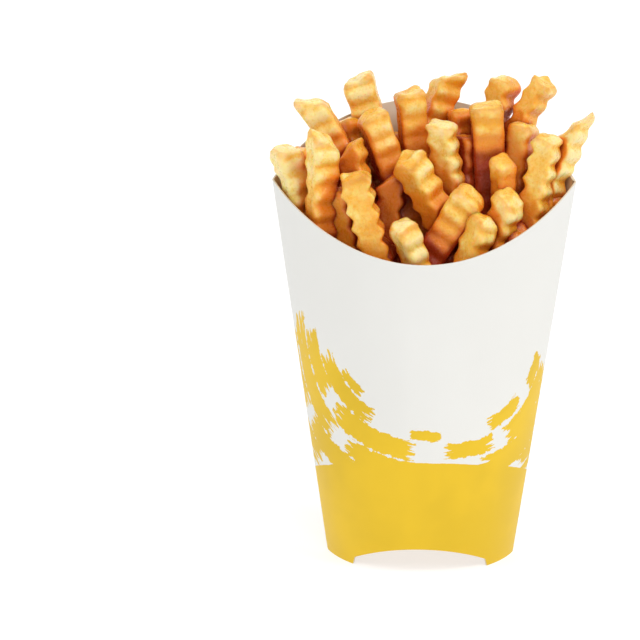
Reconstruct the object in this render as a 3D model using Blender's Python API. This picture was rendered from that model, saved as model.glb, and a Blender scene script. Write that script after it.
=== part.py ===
"""A paperboard scoop carton filled with crinkle-cut french fries.

The carton is one sheet of board: a front wall and a back wall that meet in a crease on each side,
closed near the table by an arched bottom. The front rim dips and the back rim rises by the same
arc, as both are cut by one line when the sheets are stamped. The fries are one heap: a plain core
inside the carton, with every fry that shows fused to it.

Metres, +Z up. The front wall faces -Y. The origin is on the table, under the middle of the whole.
"""

import math
from collections import namedtuple

import bpy
import numpy as np
from mathutils import Matrix, Vector

MM = 0.001

# The carton, measured on the outside of the board
BOARD = 0.5 * MM
FOOT_HALF_WIDTH = 33.2 * MM
FOOT_HALF_DEPTH = 24.9 * MM
CORNER_HEIGHT = 135.0 * MM
CORNER_HALF_WIDTH = 52.4 * MM
CORNER_HALF_DEPTH = 33.0 * MM
WALL_ARC = math.radians(70.0)  # half the angle that one wall's curve spans
RIM_ARC_HEIGHT = 22.4 * MM  # how far the front rim dips and the back rim rises
RIM_ARC_RADIUS = 71.6 * MM
ARCH_HALF_WIDTH = 22.7 * MM  # the cut-out between the two feet
ARCH_RISER = 0.9 * MM  # how far out the foot's short edge slants
ARCH_HEIGHT = 9.3 * MM
ARCH_RADIUS = 43.0 * MM
BOTTOM_LOW = 0.9 * MM  # the bottom's height at the side creases
BOTTOM_EASE = 3.4  # how quickly the bottom levels out beyond the arch, as a power
ARCH_STEPS = 18
FOOT_STEPS = 6
CREASE_SHRINK = 1.15  # a wall's inner half-width is less by this many board thicknesses

# The fries
GAP = 0.35 * MM  # between the heap and the board
CORE_HEIGHT = 106.0 * MM  # on the carton's axis
CORE_SLOPE = 0.25  # the core rises towards the back
PACKING_LEVEL = 90.0 * MM  # the height at which a fry's lower point is given
PITCH = 6.3 * MM  # from one ridge to the next
RIDGE = 0.85 * MM  # half the height of the ridges
TIP_CHAMFER = 1.4 * MM
TIP_SHRINK = 0.74
CUT_FADE = 9.0 * MM  # how fast the slant of a cut end dies away along the fry
NUDGE_STEPS = 200
RIM_MARGIN = 5.0 * MM  # a fry may stand out past the wall from this far above the rim
LEAST_PART = 400  # a loose part with a smaller volume, in cubic mm, is a scrap

# tip: the middle of the end that shows, mm. low: where the fry's middle line crosses the packing
# level, mm. size: across the ridged faces and between them, mm. turn: which way the ridged face
# looks, degrees from the front towards +X. cut: how much the end slopes down towards +X, degrees.
# face: how much the end slopes down towards the front, degrees. bow: how far the middle stands out
# to +X, mm.
Fry = namedtuple("Fry", "tip low size turn cut face bow", defaults=(0.0,))

FRIES = {
    # Front row, from left to right
    "far_left": Fry((-47.2, -3, 146.8), (-39.5, -3), (10.0, 9.0), 32, 14, 6, -0.5),
    "left_broad": Fry((-34.2, -12, 152.4), (-37.5, -11), (9.4, 8.6), 30, 30, 10, 0.5),
    "left_flat": Fry((-24.1, -19, 141), (-9.5, -19), (9.6, 9.6), 88, -4, 10),
    "left_behind_flat": Fry((-29.3, -10, 134), (-19.0, -12), (8.8, 9.0), 60, 0, 0),
    "front_short": Fry((-7.3, -22, 125), (5.0, -20), (8.6, 8.6), 36, 6, 20),
    "front_leaning": Fry((16.5, -15, 133.5), (-11.0, -13), (11.2, 9.0), -12, 8, 22),
    "front_right": Fry((20.9, -20, 126.4), (8.0, -18.5), (9.2, 9.4), 40, 12, 10),
    "right_over_front": Fry((29.7, -14, 132.8), (16.0, -11), (9.0, 9.8), 52, 14, 24),
    "right_shadow": Fry((31.5, -12, 122), (24.0, -10), (8.8, 8.8), 40, 0, 20),
    # Second row
    "left_shaded": Fry((-25.8, -1, 147), (-18.0, -6), (8.5, 8.6), 72, -34, 0, 0.8),
    "centre_shaded": Fry((-10.0, 0, 137), (-17.0, -4), (9.0, 9.5), 80, -35, 0),
    "centre_diagonal": Fry((-5.6, -6, 144), (26.5, -9), (10.0, 9.4), 52, 6, 28, -1.0),
    "small_end_on": Fry((26.8, -5, 143.4), (29.5, -3), (7.4, 7.2), 35, 10, 38),
    "right_tall": Fry((42.4, -3, 151.4), (29.5, -9), (8.6, 8.8), 66, 2, 18),
    "far_right": Fry((51.4, 3, 154.4), (30.0, -1), (8.6, 8.4), 52, -56, 0),
    # Third row
    "upper_left": Fry((-40.4, 9, 161.2), (-10.0, 1), (9.6, 8.0), -6, 26, 10, 5.5),
    "left_low": Fry((-41.8, 9, 144.5), (-37.0, 4), (8.5, 8.5), 20, 0, 0),
    "centre_left": Fry((-18.6, 8, 157), (9.0, 0), (10.2, 8.8), 18, 0, 15, -1.0),
    "centre_pale": Fry((5.4, 3, 155), (17.5, -1), (8.8, 9.3), 68, 14, 18, -0.5),
    "centre_dark": Fry((15.0, 10, 149), (16.0, 4), (9.0, 9.0), 40, 0, 0),
    "right_pale": Fry((21.2, 8, 160.5), (25.0, 4), (11.2, 9.4), 4, 0, 12),
    "right_flat_top": Fry((34.0, 9, 153.5), (27.0, 3), (9.0, 9.0), 62, -4, 10),
    # Back row
    "back_left_tall": Fry((-23.6, 24, 167), (-3.0, 14), (11.0, 9.2), -2, -12, 12),
    "back_left_low": Fry((-27.0, 19, 153), (-15.0, 10), (8.5, 8.5), 55, -10, 0),
    "back_centre": Fry((-5.5, 16, 163.7), (3.0, 9), (9.6, 9.0), 12, -4, 12),
    "back_hooked": Fry((8.9, 26, 167.4), (-14.0, 16), (9.4, 8.6), 25, -34, 0, -2.0),
    "back_centre_low": Fry((12.4, 19, 156.5), (19.0, 12), (8.6, 8.6), 20, 0, 0),
    "back_right": Fry((28.3, 20, 167.6), (8.0, 12), (9.0, 9.0), 52, -8, 8),
    "back_right_tall": Fry((42.0, 16, 167.6), (8.0, 10), (8.0, 7.6), 48, 4, 22, -3.0),
    # Short ones that fill the carton and show only from above
    "fill_back_left": Fry((-36.0, 15, 140), (-27.0, 9), (9.0, 9.0), 70, 5, 0),
    "fill_back_left_middle": Fry((-24.5, 27, 146), (-20.0, 20), (9.0, 8.5), 40, -5, -5),
    "fill_back_middle": Fry((-13.0, 25, 147), (-8.0, 19), (9.5, 9.0), 10, 6, 0),
    "fill_back_centre": Fry((4.0, 27, 146), (4.0, 20), (9.5, 9.0), 80, -3, 0),
    "fill_back_right": Fry((24.0, 25, 143), (20.0, 18), (9.5, 9.0), 15, 4, 0),
    "fill_right": Fry((39.0, 12, 138), (31.0, 8), (9.0, 9.0), 75, 8, 0),
    "fill_far_right": Fry((46.5, 2, 130.5), (37.5, 2), (7.8, 7.8), 20, 0, 0),
    "fill_left": Fry((-34.0, 1, 131), (-29.0, -1), (9.0, 9.0), 10, 5, 0),
    "fill_centre": Fry((3.0, 8, 132), (2.0, 3), (9.5, 9.5), 50, 0, 5),
    "fill_front": Fry((6.0, -11, 119), (7.0, -9), (9.5, 9.5), 20, 5, 5),
    "fill_front_left": Fry((-14.5, -17, 116), (-12.0, -14), (9.5, 9.0), 65, 0, 0),
    "fill_front_right": Fry((33.0, -14, 117), (27.0, -10), (9.0, 9.0), 60, 0, 0),
}

CARDBOARD_COLOUR = (0.86, 0.86, 0.83, 1.0)
FRY_COLOUR = (0.83, 0.50, 0.15, 1.0)


def clear_scene():
    """Removes whatever the file held."""
    for thing in list(bpy.data.objects):
        bpy.data.objects.remove(thing)


def material(name, colour, roughness):
    """A plain surface of one colour."""
    made = bpy.data.materials.new(name)
    made.use_nodes = True
    shader = made.node_tree.nodes["Principled BSDF"]
    shader.inputs["Base Color"].default_value = colour
    shader.inputs["Roughness"].default_value = roughness
    shader.inputs["Metallic"].default_value = 0.0
    return made


def mesh_object(name, points, faces, surface=None):
    """An object of these points and faces, in the scene."""
    mesh = bpy.data.meshes.new(name)
    mesh.from_pydata([tuple(p) for p in points], [], faces)
    mesh.validate()
    made = bpy.data.objects.new(name, mesh)
    bpy.context.scene.collection.objects.link(made)
    if surface:
        mesh.materials.append(surface)
    return made


def half_sizes(height, inset):
    """The carton's half-width and half-depth at a height, this far in from the outside."""
    share = height / CORNER_HEIGHT
    half_width = FOOT_HALF_WIDTH + (CORNER_HALF_WIDTH - FOOT_HALF_WIDTH) * share
    half_depth = FOOT_HALF_DEPTH + (CORNER_HALF_DEPTH - FOOT_HALF_DEPTH) * share
    return half_width - CREASE_SHRINK * inset, half_depth - inset


def wall_depth(across):
    """How deep the wall's curve stands, as a share of its half-depth, at a share of its half-width."""
    sine = max(-1.0, min(1.0, across)) * math.sin(WALL_ARC)
    return (math.sqrt(1 - sine * sine) - math.cos(WALL_ARC)) / (1 - math.cos(WALL_ARC))


def wall_point(across, side, height, inset=0.0):
    """A point on the wall: across runs from -1 to 1, and side is -1 at the front and 1 at the back."""
    half_width, half_depth = half_sizes(height, inset)
    return Vector((half_width * across, side * half_depth * wall_depth(across), height))


def rim_height(across, side):
    """The cut edge of the wall: one arc, which dips at the front and rises at the back."""
    chord = CORNER_HALF_WIDTH * across
    sag = math.sqrt(RIM_ARC_RADIUS**2 - CORNER_HALF_WIDTH**2)
    rise = math.sqrt(RIM_ARC_RADIUS**2 - chord**2) - sag
    whole = RIM_ARC_RADIUS - sag
    return CORNER_HEIGHT + side * RIM_ARC_HEIGHT * rise / whole


def bottom_height(across):
    """The underside of the bottom: an arc between the feet, which levels out towards the creases."""
    out = abs(across) * FOOT_HALF_WIDTH
    drop = ARCH_RADIUS - math.sqrt(ARCH_RADIUS**2 - min(out, ARCH_HALF_WIDTH) ** 2)
    beyond = max(0.0, out - ARCH_HALF_WIDTH) / (FOOT_HALF_WIDTH - ARCH_HALF_WIDTH)
    return BOTTOM_LOW + (ARCH_HEIGHT - drop - BOTTOM_LOW) * (1 - min(beyond, 1.0)) ** BOTTOM_EASE


def stations():
    """Where the walls have an edge, as shares of the half-width, and whether the arch is cut there."""
    inner = ARCH_HALF_WIDTH / FOOT_HALF_WIDTH
    outer = (ARCH_HALF_WIDTH + ARCH_RISER) / FOOT_HALF_WIDTH
    arch = [(share, True) for share in np.linspace(-inner, inner, ARCH_STEPS + 1)]
    angles = np.linspace(math.asin(outer * math.sin(WALL_ARC)), WALL_ARC, FOOT_STEPS + 1)
    foot = [(math.sin(angle) / math.sin(WALL_ARC), False) for angle in angles]
    return [(-share, cut) for share, cut in reversed(foot)] + arch + foot


def carton(surface):
    """The folded board, as one closed sheet of even thickness."""
    marks = stations()
    last = len(marks) - 1
    loop = [(i, -1) for i in range(last + 1)] + [(i, 1) for i in range(last - 1, 0, -1)]
    place = {mark: n for n, mark in enumerate(loop)}
    place[(0, 1)] = place[(0, -1)]
    place[(last, 1)] = place[(last, -1)]
    levels = ("outer_top", "outer_low", "inner_top", "panel_top", "panel_under", "inner_low")
    points = []
    index = {}
    for n, (i, side) in enumerate(loop):
        across, cut = marks[i]
        under = bottom_height(across)
        low = under if cut else 0.0
        top = rim_height(across, side)
        heights = (top, low, top, under + BOARD, under, low)
        for level, height in zip(levels, heights):
            if level == "inner_low" and cut:
                index[level, n] = index["panel_under", n]
                continue
            inset = 0.0 if level.startswith("outer") else BOARD
            index[level, n] = len(points)
            points.append(wall_point(across, side, height, inset))
    faces = []

    def quad(*corners):
        found = list(dict.fromkeys(index[corner] for corner in corners))
        if len(found) > 2:
            faces.append(found)

    for n in range(len(loop)):
        m = (n + 1) % len(loop)
        quad(("outer_low", n), ("outer_low", m), ("outer_top", m), ("outer_top", n))
        quad(("outer_top", n), ("outer_top", m), ("inner_top", m), ("inner_top", n))
        quad(("inner_top", n), ("inner_top", m), ("panel_top", m), ("panel_top", n))
        quad(("panel_under", n), ("panel_under", m), ("inner_low", m), ("inner_low", n))
        quad(("inner_low", n), ("inner_low", m), ("outer_low", m), ("outer_low", n))
    for i in range(last):
        front, front_next = place[(i, -1)], place[(i + 1, -1)]
        back, back_next = place[(i, 1)], place[(i + 1, 1)]
        for level, order in (("panel_top", 1), ("panel_under", -1)):
            ring = [(level, front), (level, front_next), (level, back_next), (level, back)]
            quad(*ring[::order])
    made = mesh_object("carton", points, faces, surface)
    made.data.shade_smooth()
    made.data.set_sharp_from_angle(angle=math.radians(30))
    return made


def core(surface):
    """What the hidden fries fill: the inside of the carton, clear of the board all round."""
    shares = [math.sin(a) / math.sin(WALL_ARC) for a in np.linspace(-WALL_ARC, WALL_ARC, 17)]
    last = len(shares) - 1
    points = []
    index = {}
    inset = BOARD + GAP
    for i, across in enumerate(shares):
        for side in (-1, 1):
            if side == 1 and i in (0, last):
                index[i, 1] = index[i, -1]
                continue
            low = bottom_height(across) + inset
            depth = wall_point(across, side, CORE_HEIGHT, inset).y
            high = CORE_HEIGHT + CORE_SLOPE * depth
            index[i, side] = len(points)
            points.append(wall_point(across, side, low, inset))
            points.append(wall_point(across, side, high, inset))
    faces = []
    for i in range(last):
        front, front_next = index[i, -1], index[i + 1, -1]
        back, back_next = index[i, 1], index[i + 1, 1]
        for ring in (
            [front, front_next, front_next + 1, front + 1],
            [back_next, back, back + 1, back_next + 1],
            [front + 1, front_next + 1, back_next + 1, back + 1],
            [back, back_next, front_next, front],
        ):
            faces.append(list(dict.fromkeys(ring)))
    return mesh_object("fries", points, faces, surface)


def inside(point):
    """Whether a point is clear of the walls, or well above the rim."""
    half_width, half_depth = half_sizes(point.z, BOARD + GAP)
    across = point.x / half_width
    if point.z > rim_height(max(-1, min(1, across)), math.copysign(1, point.y)) + RIM_MARGIN:
        return True
    return abs(across) <= 1 and abs(point.y) <= half_depth * wall_depth(across)


def nudge(points):
    """How far a ring of points has to move towards the carton's axis to be clear of the walls."""
    middle = sum(points, Vector()) / len(points)
    way = Vector((-middle.x, -middle.y, 0))
    steps = (way * (n / NUDGE_STEPS) for n in range(NUDGE_STEPS + 1))
    return next((step for step in steps if all(inside(point + step) for point in points)), way)


def fry(name, shape):
    """One crinkle-cut fry: a four-sided bar whose two ridged faces wave together."""
    tip = Vector(shape.tip) * MM
    low = Vector((*shape.low, 0)) * MM + Vector((0, 0, PACKING_LEVEL))
    along = (low - tip).normalized()
    front = Vector((0, -1, 0))
    ridged = (front - along * front.dot(along)).normalized()
    ridged.rotate(Matrix.Rotation(math.radians(shape.turn), 3, -along))
    across = (-along).cross(ridged)
    length = (low - tip).length
    half_across, half_between = (size / 2 * MM for size in shape.size)
    rings = [(0.0, 0.0, TIP_SHRINK), (TIP_CHAMFER, 0.0, 1.0)]
    count = int((length - TIP_CHAMFER) / (PITCH / 2))
    for n in range(1, count + 1):
        rings.append((TIP_CHAMFER + n * PITCH / 2, RIDGE if n % 2 else -RIDGE, 1.0))
    points = []
    for distance, wave, scale in rings:
        share = distance / length
        bow = Vector((4 * shape.bow * MM * share * (1 - share), 0, 0))
        middle = tip + along * distance + bow + ridged * wave
        slant = math.exp(-distance / CUT_FADE)
        ring = []
        for a, b in ((-1, -1), (1, -1), (1, 1), (-1, 1)):
            offset = (across * (a * half_across) + ridged * (b * half_between)) * scale
            slope = offset.x * math.tan(math.radians(shape.cut))
            slope -= offset.y * math.tan(math.radians(shape.face))
            ring.append(middle + offset + along * (slope * slant))
        step = nudge(ring)
        points.extend(corner + step for corner in ring)
    faces = [[3, 2, 1, 0]]
    for n in range(len(rings) - 1):
        for k in range(4):
            a, b = 4 * n + k, 4 * n + (k + 1) % 4
            faces.append([a, b, b + 4, a + 4])
    end = 4 * (len(rings) - 1)
    faces.append([end, end + 1, end + 2, end + 3])
    return mesh_object(name, points, faces)


def volume_of(points, triangles):
    """The signed volume that these triangles enclose, in cubic mm."""
    corners = points[triangles] / MM
    return np.linalg.det(corners).sum() / 6


def parts_of(triangles):
    """Which loose part each triangle is in. Two triangles are joined where just they share an edge."""
    pairs = np.sort(triangles[:, [0, 1, 1, 2, 2, 0]].reshape(-1, 2), axis=1)
    _, edge_of, counts = np.unique(pairs, axis=0, return_inverse=True, return_counts=True)
    root = np.arange(len(triangles))

    def find(i):
        while root[i] != i:
            root[i] = root[root[i]]
            i = root[i]
        return i

    sides = np.argsort(edge_of.ravel(), kind="stable") // 3
    first = np.cumsum(counts) - counts
    for n in first[counts == 2]:
        root[find(sides[n])] = find(sides[n + 1])
    return np.array([find(i) for i in range(len(triangles))])


def without_scraps(mesh):
    """The same mesh with sealed hollows filled and loose scraps dropped."""
    mesh.calc_loop_triangles()
    points = np.array([v.co for v in mesh.vertices])
    triangles = np.array([t.vertices for t in mesh.loop_triangles])
    part = parts_of(triangles)
    kept = [name for name in np.unique(part) if volume_of(points, triangles[part == name]) > LEAST_PART]
    faces = triangles[np.isin(part, kept)]
    used, renumbered = np.unique(faces, return_inverse=True)
    cleaned = bpy.data.meshes.new(mesh.name)
    cleaned.from_pydata(points[used].tolist(), [], renumbered.reshape(-1, 3).tolist())
    return cleaned


def heap(surface):
    """The core and every fry, joined into one solid."""
    body = core(surface)
    pieces = bpy.data.collections.new("pieces")
    bpy.context.scene.collection.children.link(pieces)
    for name, shape in FRIES.items():
        piece = fry(name, shape)
        bpy.context.scene.collection.objects.unlink(piece)
        pieces.objects.link(piece)
    union = body.modifiers.new("fuse", "BOOLEAN")
    union.operation = "UNION"
    union.solver = "MANIFOLD"
    union.operand_type = "COLLECTION"
    union.collection = pieces
    bpy.context.view_layer.update()
    fused = body.evaluated_get(bpy.context.evaluated_depsgraph_get())
    mesh = without_scraps(bpy.data.meshes.new_from_object(fused))
    mesh.materials.append(surface)
    body.modifiers.clear()
    body.data = mesh
    for piece in list(pieces.objects):
        bpy.data.objects.remove(piece)
    bpy.data.collections.remove(pieces)
    return body


def centre_over_origin(objects):
    """Moves the objects so that the origin is on the table under the middle of them all."""
    points = np.array([v.co for thing in objects for v in thing.data.vertices])
    middle = (points.min(axis=0) + points.max(axis=0)) / 2
    for thing in objects:
        thing.location = (-middle[0], -middle[1], 0.0)


def main():
    clear_scene()
    box = carton(material("printed_board", CARDBOARD_COLOUR, 0.45))
    food = heap(material("fried_potato", FRY_COLOUR, 0.5))
    centre_over_origin([box, food])


main()
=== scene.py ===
"""A scoop carton of crinkle-cut french fries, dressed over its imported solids.

The carton is folded again from its flat sheet, so that its print, its cut edges and its inside have
their own finish. Every fry is modelled with its ridges, its rounded corners and its cut end, and the
fries that nobody sees are a lumpy core. Metres, +Z up, the carton's front looks along -Y.
"""

import math
from collections import namedtuple

import bpy
import numpy as np
from bpy.props import FloatProperty, FloatVectorProperty, IntProperty, PointerProperty
from mathutils import Matrix, Vector, noise
from mathutils.bvhtree import BVHTree


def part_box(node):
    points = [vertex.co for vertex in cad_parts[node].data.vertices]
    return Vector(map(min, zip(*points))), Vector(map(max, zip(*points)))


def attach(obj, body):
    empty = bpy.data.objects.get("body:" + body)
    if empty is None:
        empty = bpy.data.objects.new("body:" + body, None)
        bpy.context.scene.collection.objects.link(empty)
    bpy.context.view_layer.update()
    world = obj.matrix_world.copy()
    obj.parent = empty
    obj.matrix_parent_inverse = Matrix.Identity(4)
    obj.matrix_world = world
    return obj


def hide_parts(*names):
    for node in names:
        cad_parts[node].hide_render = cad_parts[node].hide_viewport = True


bl_info = {
    "name": "Fry Carton",
    "version": (1, 0, 0),
    "blender": (4, 5, 0),
    "location": "View3D > Sidebar > Fry Carton",
    "description": "Folds a paperboard scoop carton and fills it with crinkle-cut fries",
    "category": "Object",
}

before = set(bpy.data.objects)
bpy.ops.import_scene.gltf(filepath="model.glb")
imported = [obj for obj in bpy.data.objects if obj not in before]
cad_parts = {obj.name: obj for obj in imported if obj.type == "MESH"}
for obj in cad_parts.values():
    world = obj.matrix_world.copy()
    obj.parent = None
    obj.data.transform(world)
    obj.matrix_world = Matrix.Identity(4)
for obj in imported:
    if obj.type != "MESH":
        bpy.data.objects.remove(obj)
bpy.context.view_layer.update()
CARTON_LOW, CARTON_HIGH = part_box("carton")
AXIS = Vector(((CARTON_LOW[0] + CARTON_HIGH[0]) / 2, (CARTON_LOW[1] + CARTON_HIGH[1]) / 2, 0.0))
MM = 0.001

# The carton, measured on the outside of the board
BOARD = 0.5 * MM
FOOT_HALF_WIDTH = 33.2 * MM
FOOT_HALF_DEPTH = 24.9 * MM
CORNER_HEIGHT = 135.0 * MM
CORNER_HALF_WIDTH = 52.4 * MM
CORNER_HALF_DEPTH = 33.0 * MM
WALL_ARC = math.radians(70.0)  # half the angle that one wall's curve spans
RIM_ARC_HEIGHT = 22.4 * MM  # how far the front rim dips and the back rim rises
RIM_ARC_RADIUS = 71.6 * MM
ARCH_HALF_WIDTH = 22.7 * MM  # the cut-out between the two feet
ARCH_RISER = 0.9 * MM  # how far out the foot's short edge slants
ARCH_HEIGHT = 9.3 * MM
ARCH_RADIUS = 43.0 * MM
BOTTOM_LOW = 0.9 * MM  # the bottom's height at the side creases
BOTTOM_EASE = 3.4  # how quickly the bottom levels out beyond the arch, as a power
CREASE_SHRINK = 1.15  # a wall's inner half-width is less by this many board thicknesses
WALL_COLUMNS = 72
WALL_ROWS = 36
PANEL_STEPS = 12  # of the bottom, from the front wall to the back wall
BULGE_START = 40.0 * MM  # below this height the bottom holds the walls to their curve
BULGE_WAVE = 38.0 * MM  # the size of the walls' unevenness, up the wall
BULGE_TURNS = 4.2  # how quickly it changes across a wall
BULGE_APART = 3.1  # how much it differs between the front wall and the back wall

# The flap that is glued inside the back wall. Across, as shares of the half-width.
FLAP_START = 0.78
FLAP_END = 0.995
FLAP_SLANT = 0.05  # how far across its slanted corners reach
FLAP_CORNER = 6.0 * MM  # how far up they reach
FLAP_LOW = 3.0 * MM  # above the bottom
FLAP_INSET = 0.8 * MM
FLAP_COLUMNS = 8
FLAP_ROWS = 12

# The core of hidden fries
GAP = 0.35 * MM  # between the fries and the board
CORE_HEIGHT = 103.0 * MM  # on the carton's axis
CORE_SLOPE = 0.25  # the core rises towards the back
CORE_COLUMNS = 60
CORE_ROWS = 10
CORE_STEPS = 40  # of its top, from front to back
CORE_LUMP = 2.5 * MM  # the height of the lumps on it
CORE_LUMP_SIZE = 5.0 * MM

# The fries
PACKING_LEVEL = 90.0 * MM  # the height at which a fry's lower point is given
SHADE_SPAN = 4.0 * MM, 24.0 * MM  # how far down a fry its own painted shade begins, and is full
CUT_FADE = 9.0 * MM  # how fast the slant of a cut end dies away along the fry
CAP_DEPTH = 1.8 * MM  # how far the rounding of a cut end reaches down its sides
CAP_RINGS = 8
RIM_DEPTH = 0.9 * MM  # how far below a cut end its browned rim is
SWELL_DEPTH = 2.8 * MM  # how far below a cut end the fry is thickest
LUMP_FADE = 4.0 * MM  # how fast the lumps of a cut end die away along the fry
LUMP_SIZE = 4.0 * MM
CORNER_POINTS = 5  # on each rounded corner of a fry's section
SIDE_POINTS = 5  # between two corners
CORNER_EDGE = 0.65  # how crisp the ends of a rounded corner are, against 1 at its middle
ON_FACE = 0.98  # a point is on the face that it is nearest to, from this share of the way out
RIDGED_SAG = 0.5  # how much the ridged faces sink, against 1 for the plain ones
SCALLOP_POWER = 1.7  # how round the crests of the ridges are
SCALLOP_SHARE = 0.55  # the rest of the wave is a plain cosine
PITCH_SPREAD = 0.05  # how much the fries' pitches differ, as a share
PITCH_STEP = 2.4  # from one fry's pitch to the next one's, in radians
SEED_STEP = 3.7  # how far apart the fries lie in the noise
FACE_ROUGHNESS = 0.8
EDGE_ROUGHNESS = 0.6  # how much rougher the crisp edges are
UNEVENNESS = ((0.45 * MM, 7.5 * MM), (0.16 * MM, 2.6 * MM))  # bumps: half their height, their size
WALL_MARKS = 24  # where along a fry it is kept off the walls
NUDGE_STEPS = 200
RIM_MARGIN = 2.0 * MM  # a fry may stand out past the wall from this far above the rim

# How open the fries are to the light, which sets the shade painted into their colour
OPEN_RAYS = 22  # over the whole sphere
OPEN_REACH = 36.0 * MM  # how far a ray looks
OPEN_START = 0.4 * MM  # how far off the crust a ray starts
OPEN_LEAST = 0.12  # rays flatter than this to the crust are left out
OPEN_FLOOR = 98.0 * MM  # below this height everything is shut in
OPEN_SMOOTHING = 3
BOARD_LIGHT = 0.5  # the share of the light that the white board gives back

# The print
BAND_HEIGHT = 31.0 * MM  # the solid band's top edge at the side creases, on the sheet
SHEET_RISE = 0.39  # how much the print rises towards the middle of a wall, for each metre of depth
CREASE_START = 44.7 * MM  # from the middle of a wall to its crease at the table, on the sheet
CREASE_SPREAD = 0.148  # how much further that is for each metre of height

# The stage, metres
FLOOR_NEAR = -3.0
BEND_START = 1.2
BEND_RADIUS = 0.8
BACKDROP_TOP = 4.0
STAGE_HALF_WIDTH = 4.0
SKY_STRENGTH = 0.52

# For each light: how far right of the front and above the horizon it stands and how wide it looks,
# degrees, its strength, and its colour
SUNS = {
    "key_light": (10.0, 48.0, 26.0, 0.75, (1.0, 0.98, 0.95)),
    "right_light": (65.0, 48.0, 18.0, 0.95, (1.0, 0.98, 0.95)),
    "left_light": (-65.0, 48.0, 24.0, 0.5, (1.0, 0.99, 0.97)),
}

# tip, low: ends of the middle line, mm (low is on the packing level). size: across the ridged faces,
# between them, and the radius of the long edges, mm. turn: which way the ridged face looks, degrees
# from the front to +X. cut: how much the end slopes down to +X, degrees. face: how much it is tipped
# to the front, degrees. ridges: how deep the ridges are, as a share, below 0 where a crest is at the
# tip. tone: from -1, dark, to 1, pale, partly the fry's own browning and partly painted shade. bow:
# how far the middle stands out to +X, mm. shade: how much darker its lower part is painted, as
# shade, than its place alone tells.
Fry = namedtuple("Fry", "tip low size turn cut face ridges tone bow shade", defaults=(0.0, 0.0))

FRONT_FRIES = {
    "far_left": Fry((-47.2, -3, 146.8), (-39.5, -3), (10.0, 9.0, 2.8), 32, 14, 6, -0.8, 0.9, -0.5),
    "left_broad": Fry((-34.2, -12, 152.4), (-37.5, -11), (9.4, 8.6, 2.2), 30, 30, 10, -0.9, 0.35, 0.5, 0.22),
    "left_flat": Fry((-24.1, -19, 141), (-9.5, -19), (9.6, 9.6, 1.4), 88, -4, 10, 1.0, -0.15, shade=0.06),
    "left_behind_flat": Fry((-29.3, -10, 134), (-19.0, -12), (8.8, 9.0, 2.0), 60, 0, 0, 0.8, 0.0),
    "front_short": Fry((-7.3, -22, 125), (5.0, -20), (8.6, 8.6, 2.6), 36, 6, 20, -0.8, 0.55),
    "front_leaning": Fry((16.5, -15, 133.5), (-11, -13), (11.2, 9.0, 2.4), -12, 8, 22, 0.5, 0.12, 0.0, 0.42),
    "front_right": Fry((20.9, -20, 126.4), (8.0, -18.5), (9.2, 9.4, 2.8), 40, 12, 10, -0.8, 0.1),
    "right_over_front": Fry((29.7, -14, 132.8), (16.0, -11), (9.0, 9.8, 2.6), 52, 14, 24, -0.8, 0.4),
    "right_shadow": Fry((31.5, -12, 122), (24.0, -10), (8.8, 8.8, 2.6), 40, 0, 20, 0.7, -0.9),
    "left_shaded": Fry((-25.8, -1, 147), (-18.0, -6), (8.5, 8.6, 1.6), 72, -34, 0, 1.0, -0.3, 0.8),
    "centre_shaded": Fry((-10.0, 0, 137), (-17.0, -4), (9.0, 9.5, 2.0), 80, -35, 0, 0.8, -0.75),
    "centre_diagonal": Fry((-5.6, -6, 144), (26.5, -9), (10.0, 9.4, 1.8), 52, 6, 28, -1.0, 0.05, -1.0),
    "small_end_on": Fry((26.8, -5, 143.4), (29.5, -3), (7.4, 7.2, 2.0), 35, 10, 38, 0.4, -0.35, shade=0.1),
    "right_tall": Fry((42.4, -3, 151.4), (29.5, -9), (8.6, 8.8, 1.8), 66, 2, 18, -1.0, 0.25),
    "far_right": Fry((51.4, 3, 154.4), (30.0, -1), (8.6, 8.4, 1.6), 52, -56, 0, 0.8, 0.4),
}

BACK_FRIES = {
    "upper_left": Fry((-40.4, 9, 161.2), (-10.0, 1), (9.6, 8.0, 2.2), -6, 26, 10, -0.5, 0.35, 5.5, 0.26),
    "left_low": Fry((-41.8, 9, 144.5), (-37.0, 4), (8.5, 8.5, 2.2), 20, 0, 0, 0.5, 0.1),
    "centre_left": Fry((-18.6, 8, 157), (9.0, 0), (10.2, 8.8, 2.2), 18, 0, 15, -0.45, 0.0, -1.0),
    "centre_pale": Fry((5.4, 3, 155), (17.5, -1), (8.8, 9.3, 2.4), 68, 14, 18, 0.8, 0.45, -0.5),
    "centre_dark": Fry((15.0, 10, 149), (16.0, 4), (9.0, 9.0, 2.2), 40, 0, 0, 0.6, -0.75),
    "right_pale": Fry((21.2, 8, 160.5), (25.0, 4), (11.2, 9.4, 2.2), 4, 0, 12, 0.2, -0.1, shade=0.45),
    "right_flat_top": Fry((34.0, 9, 153.5), (27.0, 3), (9.0, 9.0, 2.2), 62, -4, 10, 0.4, 0.35),
    "back_left_tall": Fry((-23.6, 24, 167), (-3.0, 14), (11.0, 9.2, 2.0), -2, -12, 12, -0.8, 0.35),
    "back_left_low": Fry((-27.0, 19, 153), (-15.0, 10), (8.5, 8.5, 2.2), 55, -10, 0, 0.6, 0.1),
    "back_centre": Fry((-5.5, 16, 163.7), (3.0, 9), (9.6, 9.0, 1.8), 12, -4, 12, -0.4, -0.1),
    "back_hooked": Fry((8.9, 26, 167.4), (-14.0, 16), (9.4, 8.6, 1.8), 25, -34, 0, -0.8, 0.1, -2.0),
    "back_centre_low": Fry((12.4, 19, 156.5), (19.0, 12), (8.6, 8.6, 2.2), 20, 0, 0, 0.5, -0.35),
    "back_right": Fry((28.3, 20, 167.6), (8.0, 12), (9.0, 9.0, 2.0), 52, -8, 8, 0.9, 0.1),
    "back_right_tall": Fry((42.0, 16, 167.6), (8.0, 10), (8.0, 7.6, 1.8), 48, 4, 22, 0.9, -0.1, -3.0),
}

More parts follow.
